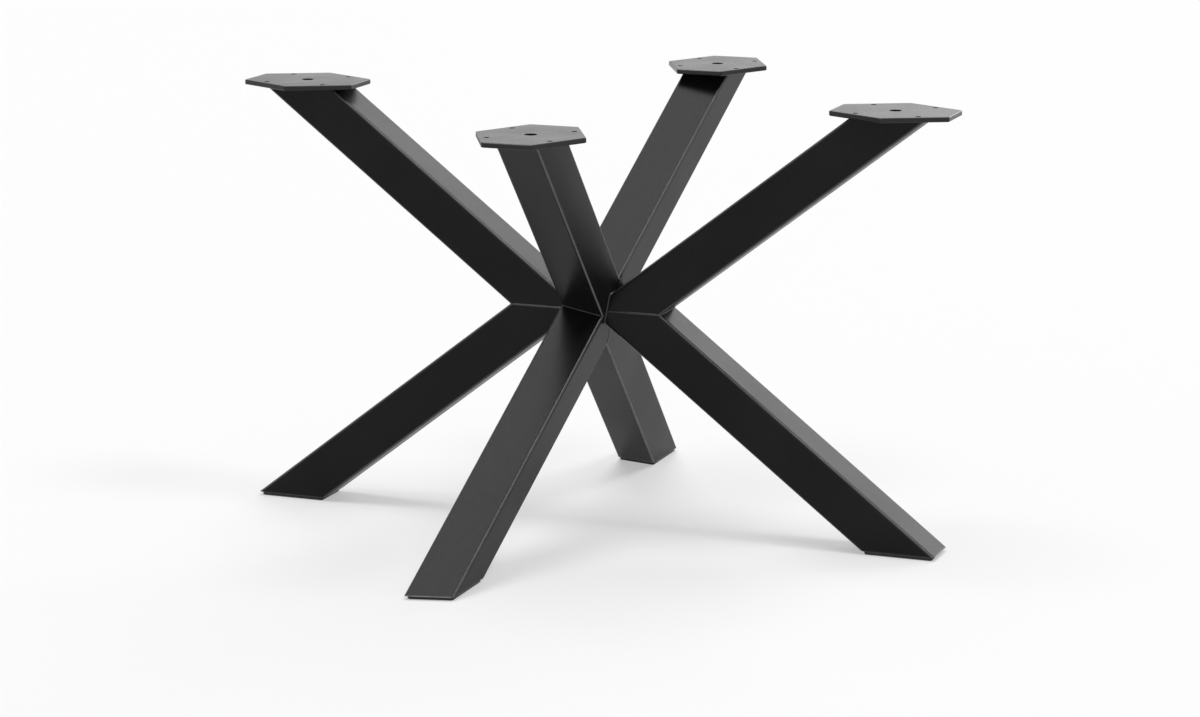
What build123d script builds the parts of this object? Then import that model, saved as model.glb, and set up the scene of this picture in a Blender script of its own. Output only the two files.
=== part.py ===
from build123d import *
import math
import os

# Table base of welded square steel tube: two X-shaped frames that cross on one axis.
# The side frame (left and right legs) stands upright; the cross frame (front and back
# legs) is shorter and leans to the right as a whole. Every leg is an upper and a lower
# arm with a mitre between them. A screw plate closes each upper end, and a moulded
# glide plug closes each foot. Millimetres, +Z up, the front leg towards -Y.
# The origin is on the floor, in the middle of the base's outline seen from above.

TOTAL_HEIGHT = 720.0      # floor to the top of the plates
TUBE = 76.0               # outside of the square tube
WALL = 3.0                # tube wall
TUBE_CORNER = 5.0         # outer corner radius of the tube
SLOPE = 37.8              # angle between an arm and the mitre, degrees
MITRE_HEIGHT = 369.5      # height of the mitres where the frames cross

# frame: azimuth of its second leg, lean of its plane (degrees), and the distance
# from the crossing axis to the outer end of its mitres
FRAMES = {
    "side": (-20.0, 0.0, 132.0),
    "cross": (70.0, 11.0, 48.0),
}

# leg: its frame, and the turn that takes it to its side of the axis
LEGS = {
    "right": ("side", 0.0),
    "left": ("side", 180.0),
    "back": ("cross", 0.0),
    "front": ("cross", 180.0),
}

PLATE_LENGTH = 196.0      # six-sided mounting plate, along its arm
PLATE_WIDTH = 180.0       # from side corner to side corner
PLATE_END = 80.0          # length of its two ends
PLATE_THICK = 8.0
PLATE_CORNER = 5.0        # rounded corners of the plate
PLATE_BREAK = 1.0         # broken arris round the plate
CENTRE_HOLE = 20.0        # drain and cable hole over the tube, diameter
SCREW_HOLE = 9.0          # wood-screw hole, diameter
SCREW_CIRCLE = 144.0      # diameter of the circle through the four screw holes

GLIDE_THICK = 6.0         # the part of the glide plug that stands under the foot
GLIDE_INSET = 3.0         # how far its flange stands inside the tube's outline
GLIDE_BREAK = 1.5         # broken lower arris of the flange
SKIRT_DEPTH = 22.0        # how far the plug reaches up into the tube
SKIRT_GAP = 0.25          # clearance between plug and tube wall
SKIRT_WALL = 2.5

FOOT_LEVEL = GLIDE_THICK
PLATE_LEVEL = TOTAL_HEIGHT - PLATE_THICK
CUT_LENGTH = TUBE / math.sin(math.radians(SLOPE))     # length of the mitre cut
BIG = 3000.0


def frame_place(frame):
    """From a frame's own upright XZ plane, with its mitres at zero, to the base."""
    azimuth, lean, _ = FRAMES[frame]
    return Pos(0, 0, MITRE_HEIGHT) * Rot(0, 0, azimuth) * Rot(lean, 0, 0)


def leg_place(leg):
    frame, turn = LEGS[leg]
    return frame_place(frame) * Rot(0, 0, turn)


def block(low, high):
    """A box between two corners."""
    size = Vector(*high) - Vector(*low)
    return Pos(*(Vector(*low) + size / 2)) * Box(*size)


def bar(leg, size, radius, upward):
    """A square bar along an arm's centre line, well past both of its ends."""
    notch = FRAMES[LEGS[leg][0]][2]
    slope = math.radians(SLOPE if upward else -SLOPE)
    along = Vector(math.cos(slope), 0, math.sin(slope))
    middle = Vector(notch - CUT_LENGTH / 2, 0, 0)
    plane = Plane(origin=middle - along * BIG / 4, x_dir=(0, 1, 0), z_dir=along)
    profile = RectangleRounded(size, size, radius) if radius > 0 else Rectangle(size, size)
    return extrude(plane * profile, BIG / 2)


def between_levels(shape, low, high):
    return shape & block((-BIG, -BIG, low), (BIG, BIG, high))


def arm(leg, upward):
    """One length of tube: mitred, fitted to the other frame, and cut level at its end."""
    tube = bar(leg, TUBE, TUBE_CORNER, upward)
    tube -= bar(leg, TUBE - 2 * WALL, TUBE_CORNER - WALL, upward)
    low, high = (0, BIG) if upward else (-BIG, 0)
    tube &= block((0, -BIG, low), (BIG, BIG, high))
    tube = leg_place(leg) * tube
    if LEGS[leg][0] == "side":
        tube = keep_beyond(tube, -1 if leg == "right" else 1)
    return between_levels(tube, FOOT_LEVEL, PLATE_LEVEL)


def keep_beyond(tube, side):
    """The side arm's part beyond one side face of the cross frame."""
    edge = side * TUBE / 2
    near, far = sorted((edge, side * BIG))
    return tube & (frame_place("cross") * block((-BIG, near, -BIG), (BIG, far, BIG)))


def arm_middle(leg, level):
    """Centre of an arm's level section, at this height above the floor."""
    frame = LEGS[leg][0]
    _, lean, notch = FRAMES[frame]
    height = (level - MITRE_HEIGHT) / math.cos(math.radians(lean))
    reach = notch - CUT_LENGTH / 2 + abs(height) / math.tan(math.radians(SLOPE))
    return (leg_place(leg) * Pos(reach, 0, height)).position


def azimuth_of(leg):
    frame, turn = LEGS[leg]
    return FRAMES[frame][0] + turn


def plate(leg):
    """Six-sided plate with five holes, its two ends square to the arm."""
    end, side, half_end = PLATE_LENGTH / 2, PLATE_WIDTH / 2, PLATE_END / 2
    corners = [(end, -half_end), (end, half_end), (0, side)]
    corners += [(-end, half_end), (-end, -half_end), (0, -side)]
    blank = make_face(Polyline(*corners, close=True))
    blank = fillet(blank.vertices(), PLATE_CORNER)
    solid = extrude(blank, PLATE_THICK)
    rims = [face.edges() for face in solid.faces().filter_by(Axis.Z)]
    solid = chamfer(rims[0] + rims[1], PLATE_BREAK)
    holes = Circle(CENTRE_HOLE / 2) + [
        Rot(0, 0, turn) * Pos(SCREW_CIRCLE / 2, 0) * Circle(SCREW_HOLE / 2)
        for turn in range(45, 360, 90)
    ]
    solid -= extrude(holes, PLATE_THICK)
    middle = arm_middle(leg, PLATE_LEVEL)
    return Pos(*middle) * Rot(0, 0, azimuth_of(leg)) * solid


def glide(leg):
    """Moulded plug: a flange under the foot and a hollow skirt inside the tube."""
    core = leg_place(leg) * bar(leg, TUBE - 2 * GLIDE_INSET, 0, False)
    sole = between_levels(core, 0, FOOT_LEVEL).faces().sort_by(Axis.Z)[-1]
    sole = sole.fillet_2d(TUBE_CORNER, sole.vertices())
    flange = extrude(sole, GLIDE_THICK, dir=(0, 0, -1))
    arris = flange.faces().sort_by(Axis.Z)[0].edges()
    flange = chamfer(arris, GLIDE_BREAK)
    outside = TUBE - 2 * (WALL + SKIRT_GAP)
    radius = TUBE_CORNER - WALL
    skirt = bar(leg, outside, radius, False)
    skirt -= bar(leg, outside - 2 * SKIRT_WALL, radius - SKIRT_WALL, False)
    skirt = between_levels(leg_place(leg) * skirt, FOOT_LEVEL, FOOT_LEVEL + SKIRT_DEPTH)
    return flange + skirt


def main():
    parts = {}
    for leg in LEGS:
        parts[f"{leg}_upper_arm"] = arm(leg, True)
        parts[f"{leg}_lower_arm"] = arm(leg, False)
        parts[f"{leg}_plate"] = plate(leg)
        parts[f"{leg}_glide"] = glide(leg)
    outline = Compound(list(parts.values())).bounding_box()
    middle = outline.center()
    print("crossing axis at", round(-middle.X, 3), round(-middle.Y, 3))
    os.makedirs("parts", exist_ok=True)
    for name, shape in parts.items():
        export_step(Pos(-middle.X, -middle.Y, 0) * shape, f"parts/{name}.step")


main()
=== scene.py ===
import math

import bmesh
import bpy
from mathutils import Matrix, Vector


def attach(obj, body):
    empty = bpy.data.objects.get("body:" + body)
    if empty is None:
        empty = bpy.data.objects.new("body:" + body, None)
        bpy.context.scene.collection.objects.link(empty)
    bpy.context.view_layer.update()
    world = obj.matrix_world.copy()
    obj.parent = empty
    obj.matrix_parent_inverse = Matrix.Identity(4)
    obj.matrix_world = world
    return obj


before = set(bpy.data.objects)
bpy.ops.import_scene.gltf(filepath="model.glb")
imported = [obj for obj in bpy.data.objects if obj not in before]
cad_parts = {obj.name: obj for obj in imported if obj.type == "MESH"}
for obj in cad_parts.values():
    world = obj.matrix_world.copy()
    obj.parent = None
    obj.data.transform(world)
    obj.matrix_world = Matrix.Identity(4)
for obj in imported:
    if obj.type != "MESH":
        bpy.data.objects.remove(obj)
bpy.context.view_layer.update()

# The eight arms
# Each arm is one length of 76 mm square steel tube with rounded corners, sawn to a mitre
# at one end and level at the other, and welded to its neighbours. The whole base was
# then powder coated black: a satin skin with a faint orange peel and a fine grain.

LEGS = ("right", "left", "back", "front")
TUBE_HALF = 0.038                                             # half of the tube's outside
TUBE_SLOPE = math.radians(37.8)                               # between an arm and its mitre
CROSSING_PLACE = Vector((0, -0.000177, 0.3695))               # on its axis, level with the mitres
SIDE_FRAME = (math.radians(-20.0), 0.0, 0.132)                # azimuth, lean, reach of mitre
CROSS_FRAME = (math.radians(70.0), math.radians(11.0), 0.048)
LEG_FRAMES = {"right": (SIDE_FRAME, 1), "left": (SIDE_FRAME, -1),
              "back": (CROSS_FRAME, 1), "front": (CROSS_FRAME, -1)}

COAT_BLACK = (0.0070, 0.0070, 0.0078, 1.0)
COAT_THIN = (0.0105, 0.0105, 0.0116, 1.0)     # where the powder lies a little thinner
COAT_PAINTED_HIGHLIGHT = (0.070, 0.070, 0.073, 1.0)      # painted highlight along the tube's corners and foot edge
COAT_GRAIN = {"Peel Size": 0.0024, "Grain Size": 0.00055, "Grain Share": 0.3, "Patch Size": 0.16}
COAT_RELIEF = 0.00016                         # depth of peel and grain together
NOISE_SPAN = (0.35, 0.65)                     # where nearly all of a noise texture lies


def feed(tree, socket, value):
    """Give a socket a value of its own, or a link from another socket."""
    if isinstance(value, bpy.types.NodeSocket):
        tree.links.new(value, socket)
    else:
        socket.default_value = value


def reckon(tree, operation, *values):
    """A math node on these numbers or sockets, and what it puts out."""
    node = tree.nodes.new("ShaderNodeMath")
    node.operation = operation
    for socket, value in zip(node.inputs, values):
        feed(tree, socket, value)
    return node.outputs["Value"]


def spread(tree, value, across, onto=(0.0, 1.0), kind="LINEAR"):
    """A map range node, which takes a value from one span of numbers onto another."""
    node = tree.nodes.new("ShaderNodeMapRange")
    node.interpolation_type = kind
    names = ("Value", "From Min", "From Max", "To Min", "To Max")
    for name, given in zip(names, (value, *across, *onto)):
        feed(tree, node.inputs[name], given)
    return node.outputs["Result"]


def blend(tree, kind, share, first, second):
    """A mix node: all of the first at a share of 0, and all of the second at 1."""
    node = tree.nodes.new("ShaderNodeMix")
    node.data_type = kind
    for name, given in (("Factor", share), ("A", first), ("B", second)):
        feed(tree, node.inputs[name], given)
    return node.outputs["Result"]


def add_sockets(tree, inputs, outputs):
    """Named number inputs with their usual values, and number outputs, on a node group."""
    for name, value in inputs.items():
        socket = tree.interface.new_socket(name, in_out="INPUT", socket_type="NodeSocketFloat")
        socket.default_value = value
    for name in outputs:
        tree.interface.new_socket(name, in_out="OUTPUT", socket_type="NodeSocketFloat")


def build_surface_grain():
    """Node group: the relief of a sprayed or moulded skin, and its slow changes in tone."""
    group = bpy.data.node_groups.new("surface_grain", "ShaderNodeTree")
    add_sockets(group, COAT_GRAIN, ("Height", "Patch"))
    given = group.nodes.new("NodeGroupInput")
    result = group.nodes.new("NodeGroupOutput")
    place = group.nodes.new("ShaderNodeTexCoord")

    def noise(size_name, detail, roughness):
        texture = group.nodes.new("ShaderNodeTexNoise")
        texture.inputs["Detail"].default_value = detail
        texture.inputs["Roughness"].default_value = roughness
        feed(group, texture.inputs["Vector"], place.outputs["Object"])
        per_metre = reckon(group, "DIVIDE", 1.0, given.outputs[size_name])
        feed(group, texture.inputs["Scale"], per_metre)
        return texture.outputs["Fac"]

    peel = noise("Peel Size", detail=1.0, roughness=0.4)
    grain = noise("Grain Size", detail=3.0, roughness=0.6)
    patch = noise("Patch Size", detail=2.0, roughness=0.5)
    height = blend(group, "FLOAT", given.outputs["Grain Share"], peel, grain)
    feed(group, result.inputs["Height"], height)
    feed(group, result.inputs["Patch"], spread(group, patch, NOISE_SPAN))
    return group


def new_finish(name, dark, light, roughness, relief, grain_sizes):
    """A finish whose tone, gloss and relief all come from the surface grain."""
    finish = bpy.data.materials.new(name)
    finish.use_nodes = True
    tree = finish.node_tree
    shader = tree.nodes["Principled BSDF"]
    grain = tree.nodes.new("ShaderNodeGroup")
    grain.name = "surface_grain"
    grain.node_tree = surface_grain
    for socket, value in grain_sizes.items():
        grain.inputs[socket].default_value = value
    patch = grain.outputs["Patch"]
    feed(tree, shader.inputs["Base Color"], blend(tree, "RGBA", patch, dark, light))
    feed(tree, shader.inputs["Roughness"], spread(tree, patch, (0.0, 1.0), roughness))
    bump = tree.nodes.new("ShaderNodeBump")
    bump.inputs["Distance"].default_value = relief
    feed(tree, bump.inputs["Height"], grain.outputs["Height"])
    feed(tree, shader.inputs["Normal"], bump.outputs["Normal"])
    return finish


def give_skin(finish, specular, weight, roughness):
    """A satin skin over the finish: its weight follows the grain, its gloss is even."""
    tree = finish.node_tree
    shader = tree.nodes["Principled BSDF"]
    shader.inputs["Specular IOR Level"].default_value = specular
    shader.inputs["Coat Roughness"].default_value = roughness
    height = tree.nodes["surface_grain"].outputs["Height"]
    feed(tree, shader.inputs["Coat Weight"], spread(tree, height, NOISE_SPAN, weight))


def new_powder_coat(name):
    """The black powder coat as it lies on the tubes and on the weld beads."""
    coat = new_finish(name, COAT_BLACK, COAT_THIN, roughness=(0.34, 0.42),
                      relief=COAT_RELIEF, grain_sizes=COAT_GRAIN)
    give_skin(coat, specular=0.03, weight=(0.15, 0.24), roughness=0.26)
    return coat


def build_arris_highlight_and_gloss():
    """Node group: masks along a square tube's rounded corners and sawn foot edge, one for a painted
    highlight in the colour and one for a glossier skin.
    """
    group = bpy.data.node_groups.new("arris_highlight_and_gloss", "ShaderNodeTree")
    group.interface.new_socket("Along Tube", in_out="INPUT", socket_type="NodeSocketVector")
    sizes = {
        "Half Width": TUBE_HALF, "Foot Level": 0.006, "Foot Edge": 0.002,
        "Highlight Starts": 0.0028, "Highlight Full": 0.0020, "Polish Starts": 0.0042, "Polish Full": 0.0031,
        "Unevenness": 0.4, "Spots Per Metre": 55.0,
    }
    add_sockets(group, sizes, ("Painted Highlight", "Polished"))
    given = group.nodes.new("NodeGroupInput")
    result = group.nodes.new("NodeGroupOutput")
    across = group.nodes.new("ShaderNodeSeparateXYZ")
    feed(group, across.inputs["Vector"], given.outputs["Along Tube"])
    nearest = reckon(group, "MINIMUM", reckon(group, "ABSOLUTE", across.outputs["Y"]),
                     reckon(group, "ABSOLUTE", across.outputs["Z"]))
    depth = reckon(group, "SUBTRACT", given.outputs["Half Width"], nearest)
    place = group.nodes.new("ShaderNodeTexCoord")
    standing = group.nodes.new("ShaderNodeSeparateXYZ")
    feed(group, standing.inputs["Vector"], place.outputs["Object"])
    edge_top = reckon(group, "ADD", given.outputs["Foot Level"], given.outputs["Foot Edge"])
    foot = spread(group, standing.outputs["Z"], (edge_top, given.outputs["Foot Level"]),
                  kind="SMOOTHSTEP")
    spots = group.nodes.new("ShaderNodeTexNoise")
    spots.inputs["Detail"].default_value = 3.0
    feed(group, spots.inputs["Scale"], given.outputs["Spots Per Metre"])
    feed(group, spots.inputs["Vector"], place.outputs["Object"])
    line_gaps = reckon(group, "MULTIPLY", spots.outputs["Fac"], given.outputs["Unevenness"])
    reached = reckon(group, "SUBTRACT", 1.0, line_gaps)
    # The first mask is a painted highlight along the corners and foot edge; the second makes the skin
    # glossier there.
    for name, start, full in (("Painted Highlight", "Highlight Starts", "Highlight Full"),
                              ("Polished", "Polish Starts", "Polish Full")):
        corner = spread(group, depth, (given.outputs[start], given.outputs[full]), kind="SMOOTHSTEP")
        at_arris = reckon(group, "MAXIMUM", corner, foot)
        feed(group, result.inputs[name], reckon(group, "MULTIPLY", at_arris, reached))
    return group


def paint_arris_highlights(finish, along_tube):
    """Paint a highlight into the finish's colour along the corners of the tube that lies along this
    place's X axis, and make its skin glossier there.
    """
    tree = finish.node_tree
    shader = tree.nodes["Principled BSDF"]
    place = tree.nodes.new("ShaderNodeTexCoord")
    mapping = tree.nodes.new("ShaderNodeMapping")
    mapping.vector_type = "TEXTURE"
    mapping.inputs["Location"].default_value = along_tube.translation
    mapping.inputs["Rotation"].default_value = along_tube.to_euler("XYZ")
    feed(tree, mapping.inputs["Vector"], place.outputs["Object"])
    arris_masks = tree.nodes.new("ShaderNodeGroup")
    arris_masks.node_tree = arris_highlight_and_gloss
    arris_masks.inputs["Half Width"].default_value = TUBE_HALF
    feed(tree, arris_masks.inputs["Along Tube"], mapping.outputs["Vector"])
    tone = shader.inputs["Base Color"].links[0].from_socket
    # Painted highlight: the base colour turns much lighter along the corners and the foot edge.
    painted_highlight = blend(tree, "RGBA", arris_masks.outputs["Painted Highlight"], tone, COAT_PAINTED_HIGHLIGHT)
    feed(tree, shader.inputs["Base Color"], painted_highlight)
    skin = shader.inputs["Coat Weight"].links[0].from_socket
    polished = reckon(tree, "MAXIMUM", arris_masks.outputs["Polished"], skin)
    feed(tree, shader.inputs["Coat Weight"], polished)


def give_finish(node_name, finish):
    """Put one finish on the whole of a CAD node."""
    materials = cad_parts[node_name].data.materials
    if len(materials) == 0:
        materials.append(finish)
    for i in range(len(materials)):
        materials[i] = finish


def frame_place(frame_values):
    """The middle of a frame: X along it, Y square to its sides, Z up in its own plane."""
    azimuth, lean, _ = frame_values
    turn = Matrix.Rotation(azimuth, 4, "Z") @ Matrix.Rotation(lean, 4, "X")
    return Matrix.Translation(CROSSING_PLACE) @ turn


def tube_place(leg, slope):
    """A point on the middle line of one arm's tube, with X along the tube."""
    frame_values, way = LEG_FRAMES[leg]
    reach = (frame_values[2] - TUBE_HALF / math.sin(TUBE_SLOPE)) * way
    return (frame_place(frame_values) @ Matrix.Translation((reach, 0, 0))
            @ Matrix.Rotation(-slope * way, 4, "Y"))


surface_grain = build_surface_grain()
arris_highlight_and_gloss = build_arris_highlight_and_gloss()
for leg in LEGS:
    for part, slope in (("upper", TUBE_SLOPE), ("lower", -TUBE_SLOPE)):
        arm_coat = new_powder_coat(f"black_powder_coat_{leg}_{part}")
        paint_arris_highlights(arm_coat, tube_place(leg, slope))
        give_finish(f"{leg}_{part}_arm", arm_coat)

# The four plates
# Each plate is cut from 8 mm steel sheet, six-sided, drilled for four screws with a
# larger hole in the middle, welded flat on an upper arm and coated together with it.
# The coat flows out smoother on the flat sheet than on the tube.

PLATE_GRAIN = {**COAT_GRAIN, "Peel Size": 0.00288, "Grain Share": 0.22, "Patch Size": 0.07}
PLATE_RELIEF = COAT_RELIEF * 0.5
PLATE_SPECULAR = 0.32

plate_coat = new_finish("black_powder_coat_on_plate", COAT_BLACK, COAT_THIN,
                        roughness=(0.24, 0.31), relief=PLATE_RELIEF, grain_sizes=PLATE_GRAIN)
plate_shader = plate_coat.node_tree.nodes["Principled BSDF"]
plate_shader.inputs["Specular IOR Level"].default_value = PLATE_SPECULAR
for leg in LEGS:
    give_finish(f"{leg}_plate", plate_coat)

# The welds under the plates
# A fillet weld runs round each tube where it meets the underside of its plate: a bead of
# steel laid in overlapping ripples, left as welded because the table top's edge hides it.

PLATE_UNDERSIDE = 0.712
PLATE_CUT = 0.0006           # the tube's outline is taken this far below the plate
PLATE_BEAD = {"Bead Radius": 0.0028, "Ripple Pitch": 0.0024, "Ripple Depth": 0.22, "Seed": 3}
RINGS_PER_RIPPLE = 5.0       # how finely a bead is divided along its length
RING_SIDES = 10              # and round its girth
DRIFT_PER_METRE = 90.0       # how quickly the welder's hand wanders
RIPPLE_DRIFT = 3.0           # ripples run ahead or behind by up to this many
RIPPLE_CREST = 2.0           # power that leans each ripple towards its front
GIRTH_DRIFT = 0.5            # share of the bead's radius
SAME_POINT = 1e-6            # corners nearer than this are one
ON_PLANE = 1e-7
UP = Vector((0, 0, 1))


def cut_outline(node_name, point, normal):
    """The longest outline of a CAD node where a plane cuts it, as points in order."""
    solid = bmesh.new()
    solid.from_mesh(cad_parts[node_name].data)
    bmesh.ops.remove_doubles(solid, verts=solid.verts, dist=SAME_POINT)
    everything = solid.verts[:] + solid.edges[:] + solid.faces[:]
    cut = bmesh.ops.bisect_plane(solid, geom=everything, dist=ON_PLANE,
                                 plane_co=point, plane_no=normal)
    next_to = {}
    for item in cut["geom_cut"]:
        if isinstance(item, bmesh.types.BMEdge):
            a, b = item.verts
            next_to.setdefault(a, []).append(b)
            next_to.setdefault(b, []).append(a)
    outlines = []
    unused = list(next_to)           # in the mesh's own order, so each run starts alike
    while unused:
        vertex = unused.pop()
        outline = [vertex.co.copy()]
        while True:
            following = [v for v in next_to[vertex] if v in unused]
            if not following:
                break
            vertex = following[0]
            unused.remove(vertex)
            outline.append(vertex.co.copy())
        outlines.append(outline)
    solid.free()

    def length(outline):
        return sum((a - b).length for a, b in zip(outline, outline[1:] + outline[:1]))

    return max(outlines, key=length)


def build_weld_bead():
    """Geometry nodes: a bead of weld along a closed path, swelling once for each ripple."""
    tree = bpy.data.node_groups.new("weld_bead", "GeometryNodeTree")
    face = tree.interface
    face.new_socket("Geometry", in_out="INPUT", socket_type="NodeSocketGeometry")
    sizes = {name: value for name, value in PLATE_BEAD.items() if name != "Seed"}
    add_sockets(tree, sizes, ())
    face.new_socket("Seed", in_out="INPUT", socket_type="NodeSocketInt")
    face.new_socket("Material", in_out="INPUT", socket_type="NodeSocketMaterial")
    face.new_socket("Geometry", in_out="OUTPUT", socket_type="NodeSocketGeometry")
    given = tree.nodes.new("NodeGroupInput")
    result = tree.nodes.new("NodeGroupOutput")

    pitch = given.outputs["Ripple Pitch"]
    path = tree.nodes.new("GeometryNodeResampleCurve")
    path.mode = "LENGTH"
    feed(tree, path.inputs["Curve"], given.outputs["Geometry"])
    feed(tree, path.inputs["Length"], reckon(tree, "DIVIDE", pitch, RINGS_PER_RIPPLE))
    drift = tree.nodes.new("ShaderNodeTexNoise")
    drift.noise_dimensions = "4D"
    drift.inputs["Scale"].default_value = DRIFT_PER_METRE
    feed(tree, drift.inputs["W"], given.outputs["Seed"])
    along = tree.nodes.new("GeometryNodeSplineParameter")
    ripples = reckon(tree, "DIVIDE", along.outputs["Length"], pitch)
    ahead = reckon(tree, "MULTIPLY", drift.outputs["Fac"], RIPPLE_DRIFT)
    phase = reckon(tree, "FRACT", reckon(tree, "ADD", ripples, ahead))
    crest = reckon(tree, "POWER", phase, RIPPLE_CREST)
    dip = reckon(tree, "MULTIPLY", crest, given.outputs["Ripple Depth"])
    swell = reckon(tree, "MULTIPLY", reckon(tree, "SUBTRACT", drift.outputs["Fac"], 0.5), GIRTH_DRIFT)
    girth = reckon(tree, "ADD", reckon(tree, "SUBTRACT", 1.0, dip), swell)
    bead_radius = reckon(tree, "MULTIPLY", girth, given.outputs["Bead Radius"])

    ring = tree.nodes.new("GeometryNodeCurvePrimitiveCircle")
    ring.inputs["Resolution"].default_value = RING_SIDES
    ring.inputs["Radius"].default_value = 1.0
    sweep = tree.nodes.new("GeometryNodeCurveToMesh")
    feed(tree, sweep.inputs["Curve"], path.outputs["Curve"])
    feed(tree, sweep.inputs["Profile Curve"], ring.outputs["Curve"])
    feed(tree, sweep.inputs["Scale"], bead_radius)
    smooth = tree.nodes.new("GeometryNodeSetShadeSmooth")
    feed(tree, smooth.inputs["Geometry"], sweep.outputs["Mesh"])
    realize = tree.nodes.new("GeometryNodeRealizeInstances")
    feed(tree, realize.inputs["Geometry"], smooth.outputs["Geometry"])
    coat = tree.nodes.new("GeometryNodeSetMaterial")
    feed(tree, coat.inputs["Geometry"], realize.outputs["Geometry"])
    feed(tree, coat.inputs["Material"], given.outputs["Material"])
    feed(tree, result.inputs["Geometry"], coat.outputs["Geometry"])
    return tree


def lay_weld(name, outlines, sizes, finish):
    """One weld piece: a bead along each of these closed outlines."""
    line = bpy.data.curves.new(name + "_path", "CURVE")
    line.dimensions = "3D"
    for outline in outlines:
        spline = line.splines.new("POLY")
        spline.points.add(len(outline) - 1)
        for point, place in zip(spline.points, outline):
            point.co = (*place, 1.0)
        spline.use_cyclic_u = True
    path = bpy.data.objects.new(name + "_path", line)
    bpy.context.scene.collection.objects.link(path)
    modifier = path.modifiers.new("weld", "NODES")
    modifier.node_group = weld_bead
    values = {**sizes, "Material": finish}
    for item in weld_bead.interface.items_tree:
        if item.in_out == "INPUT" and item.name in values:
            modifier[item.identifier] = values[item.name]
    evaluated = path.evaluated_get(bpy.context.evaluated_depsgraph_get())
    mesh = bpy.data.meshes.new_from_object(evaluated)
    bpy.data.objects.remove(path)
    weld = bpy.data.objects.new(name, mesh)
    bpy.context.scene.collection.objects.link(weld)
    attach(weld, "root")


weld_bead = build_weld_bead()
weld_coat = new_powder_coat("black_powder_coat")
for leg in LEGS:
    joint = cut_outline(f"{leg}_upper_arm", Vector((0, 0, PLATE_UNDERSIDE - PLATE_CUT)), UP)
    lay_weld(f"{leg}_plate_weld", [joint], PLATE_BEAD, weld_coat)

# The seams in the middle
# The mitres and the joints at the crossing are welded and ground nearly flush before
# coating, so only a fine raised line of each shows through the powder.

SEAM_BEAD = {"Bead Radius": 0.0022, "Ripple Pitch": 0.004, "Ripple Depth": 0.06, "Seed": 8}
CROSSING_BEAD = {"Bead Radius": 0.0018, "Ripple Pitch": 0.003, "Ripple Depth": 0.12, "Seed": 5}
SEAM_SET_BACK = 0.0013       # how far the seam's middle lies under the skin of the tube
MITRE_CUT = 0.0001           # a mitre's outline is taken this far inside its upper arm
BUTT_CUT = 0.0002            # and a butt joint's this far inside the arm that ends there

# The coat pools on a ground seam, so it lies smoother and shines a little there.
seam_coat = new_finish("black_powder_coat_on_seam", COAT_BLACK, COAT_THIN,
                       roughness=(0.24, 0.31), relief=COAT_RELIEF, grain_sizes=COAT_GRAIN)
give_skin(seam_coat, specular=0.5, weight=(0.22, 0.34), roughness=0.20)


def set_back(outline, normal, distance):
    """The outline moved inwards in its own plane."""
    area = Vector()
    for a, b in zip(outline, outline[1:] + outline[:1]):
        area += a.cross(b)
    turn = 1.0 if area.dot(normal) > 0 else -1.0
    moved = []
    for i, point in enumerate(outline):
        ahead = outline[(i + 1) % len(outline)] - outline[i - 1]
        moved.append(point + normal.cross(ahead).normalized() * turn * distance)
    return moved


crossing = frame_place(CROSS_FRAME)
cross_along, cross_side, cross_up = (crossing.to_3x3().col[i].normalized() for i in range(3))
middle = crossing.translation
mitre_up = {"right": UP, "left": UP, "back": cross_up, "front": cross_up}
for leg in LEGS:
    seam = cut_outline(f"{leg}_upper_arm", middle + mitre_up[leg] * MITRE_CUT, mitre_up[leg])
    seam = set_back(seam, mitre_up[leg], SEAM_SET_BACK)
    lay_weld(f"{leg}_mitre_seam", [seam], SEAM_BEAD, seam_coat)
for leg, side in (("right", -1), ("left", 1)):
    contact = middle + cross_side * side * (TUBE_HALF + BUTT_CUT)
    joints = [cut_outline(f"{leg}_{part}_arm", contact, cross_side) for part in ("upper", "lower")]
    lay_weld(f"{leg}_crossing_weld", joints, CROSSING_BEAD, seam_coat)
joints = [
    set_back(cut_outline(f"front_{part}_arm", middle - cross_along * BUTT_CUT, cross_along),
             cross_along, SEAM_SET_BACK)
    for part in ("upper", "lower")
]
lay_weld("cross_frame_seam", joints, SEAM_BEAD, seam_coat)

# The four glides
# Each foot is closed by a plug injection moulded in black polyethylene and pressed into
# the tube. Its sole stands 6 mm below the steel, with the matt, spark-eroded grain of
# the mould and a few soft scuffs from the floor.

GLIDE_BLACK = (0.0055, 0.0055, 0.0058, 1.0)
GLIDE_SCUFFED = (0.012, 0.012, 0.012, 1.0)
GLIDE_GRAIN = {"Peel Size": 0.0009, "Grain Size": 0.0003, "Grain Share": 0.6, "Patch Size": 0.03}
GLIDE_RELIEF = 0.00005

glide_plastic = new_finish("black_polyethylene", GLIDE_BLACK, GLIDE_SCUFFED,
                           roughness=(0.50, 0.64), relief=GLIDE_RELIEF, grain_sizes=GLIDE_GRAIN)
for leg in LEGS:
    give_finish(f"{leg}_glide", glide_plastic)

# The studio floor
# The base stands on a plain, matt white floor that runs on past the picture. A share of
# plain white is added where it is seen, which lightens the shadows on it.

FLOOR_HALF = 30.0
FLOOR_WHITE = (0.87, 0.87, 0.872, 1.0)
FLOOR_ROUGHNESS = 0.9
FLOOR_SPECULAR = 0.1
FLOOR_LIFT = 0.43            # share of plain white
LIFT_WHITE = (0.985, 0.985, 0.985, 1.0)


def seen_directly(tree):
    """1 for rays from the camera, from a gloss or through glass, and 0 for the rest."""
    ray = tree.nodes.new("ShaderNodeLightPath")
    total = ray.outputs["Is Camera Ray"]
    for kind in ("Is Glossy Ray", "Is Transmission Ray"):
        total = reckon(tree, "MAXIMUM", total, ray.outputs[kind])
    return total


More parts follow.
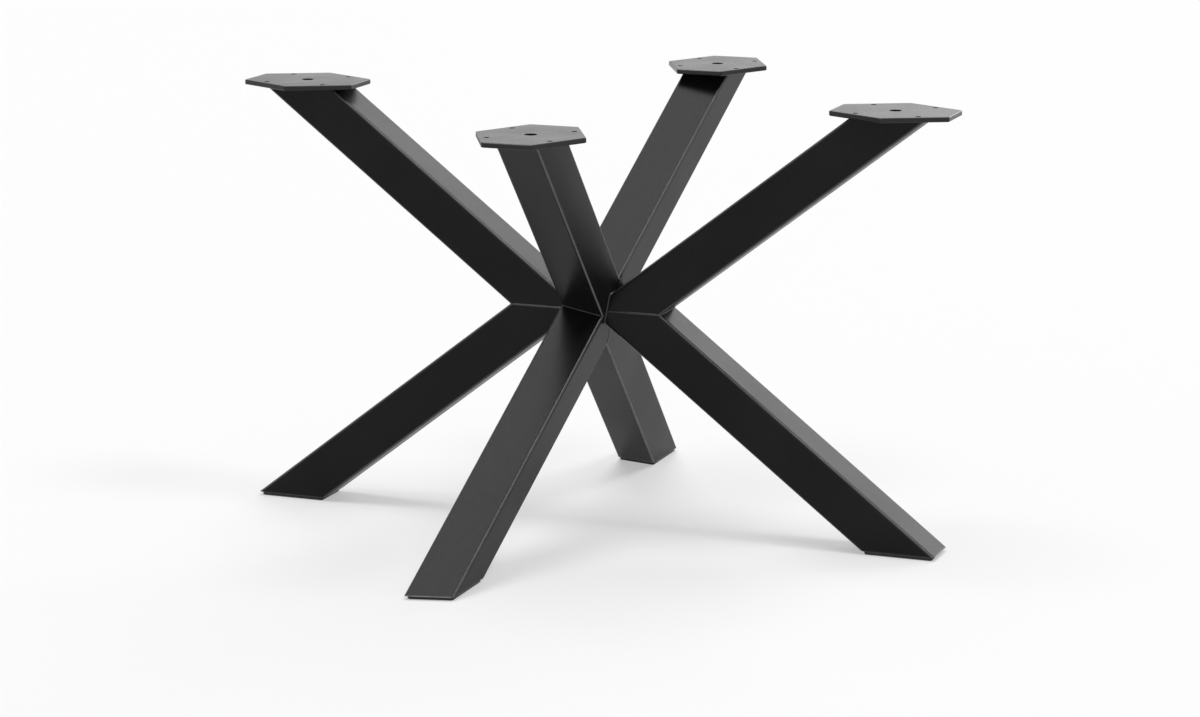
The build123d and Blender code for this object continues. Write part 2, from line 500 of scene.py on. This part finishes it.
floor_mesh = bpy.data.meshes.new("studio_floor")
floor_corners = [(x * FLOOR_HALF, y * FLOOR_HALF, 0) for x, y in ((-1, -1), (1, -1), (1, 1), (-1, 1))]
floor_mesh.from_pydata(floor_corners, [], [(0, 1, 2, 3)])
floor = bpy.data.objects.new("studio_floor", floor_mesh)
bpy.context.scene.collection.objects.link(floor)
floor_paint = bpy.data.materials.new("studio_floor_white")
floor_paint.use_nodes = True
floor_tree = floor_paint.node_tree
floor_shader = floor_tree.nodes["Principled BSDF"]
floor_shader.inputs["Base Color"].default_value = FLOOR_WHITE
floor_shader.inputs["Roughness"].default_value = FLOOR_ROUGHNESS
floor_shader.inputs["Specular IOR Level"].default_value = FLOOR_SPECULAR
white = floor_tree.nodes.new("ShaderNodeEmission")
white.inputs["Color"].default_value = LIFT_WHITE
lifted = floor_tree.nodes.new("ShaderNodeMixShader")
lift = reckon(floor_tree, "MULTIPLY", seen_directly(floor_tree), FLOOR_LIFT)
feed(floor_tree, lifted.inputs["Fac"], lift)
feed(floor_tree, lifted.inputs[1], floor_shader.outputs["BSDF"])
feed(floor_tree, lifted.inputs[2], white.outputs["Emission"])
feed(floor_tree, floor_tree.nodes["Material Output"].inputs["Surface"], lifted.outputs["Shader"])
floor_mesh.materials.append(floor_paint)

# The light and the camera
# Three wide soft lights hang in a studio that is white all round: one overhead, one high
# on the right that lights the corners of the tubes, and a low one from behind. The camera
# looks down from a little above the plates through a long lens.

SURROUND_LIGHT = (0.31, 0.31, 0.314, 1.0)     # what the white walls give to matt surfaces
SURROUND_SEEN = (0.98, 0.98, 0.98, 1.0)       # and how they look, also in a gloss
LAMP_TINT = (0.985, 0.98, 1.0)
CAMERA_LENS = 103.07                          # fitted to the photograph, as are the next three
CAMERA_PLACE = (0.0831, -5.5544, 1.504)
CAMERA_DOWN = math.radians(12.43)
CAMERA_TURN = math.radians(0.73)
CAMERA_SENSOR = 36.0
CAMERA_REACH = 200.0

scene = bpy.context.scene
scene.view_settings.view_transform = "Standard"
world = bpy.data.worlds.new("white_studio")
scene.world = world
world.use_nodes = True
surround = blend(world.node_tree, "RGBA", seen_directly(world.node_tree),
                 SURROUND_LIGHT, SURROUND_SEEN)
feed(world.node_tree, world.node_tree.nodes["Background"].inputs["Color"], surround)


def hang_softbox(name, azimuth, elevation, strength, width):
    """A distant soft light from this direction, so wide across in degrees."""
    lamp = bpy.data.lights.new(name, "SUN")
    lamp.energy = strength
    lamp.angle = math.radians(width)
    lamp.color = LAMP_TINT
    lamp_object = bpy.data.objects.new(name, lamp)
    bpy.context.scene.collection.objects.link(lamp_object)
    a, e = math.radians(azimuth), math.radians(elevation)
    source = Vector((math.cos(a) * math.cos(e), math.sin(a) * math.cos(e), math.sin(e)))
    lamp_object.rotation_mode = "QUATERNION"
    lamp_object.rotation_quaternion = source.to_track_quat("Z", "Y")


hang_softbox("overhead_softbox", azimuth=175.0, elevation=79.0, strength=1.4, width=34.0)
hang_softbox("right_softbox", azimuth=-21.5, elevation=63.0, strength=0.8, width=18.0)
hang_softbox("back_softbox", azimuth=62.0, elevation=26.0, strength=1.15, width=44.0)

camera_data = bpy.data.cameras.new("photo_camera")
camera = bpy.data.objects.new("photo_camera", camera_data)
bpy.context.scene.collection.objects.link(camera)
camera_data.sensor_fit = "HORIZONTAL"
camera_data.sensor_width = CAMERA_SENSOR
camera_data.lens = CAMERA_LENS
camera_data.dof.use_dof = False
camera_data.clip_end = CAMERA_REACH
camera.location = CAMERA_PLACE
camera.rotation_euler = (math.pi / 2 - CAMERA_DOWN, 0.0, CAMERA_TURN)
scene.camera = camera
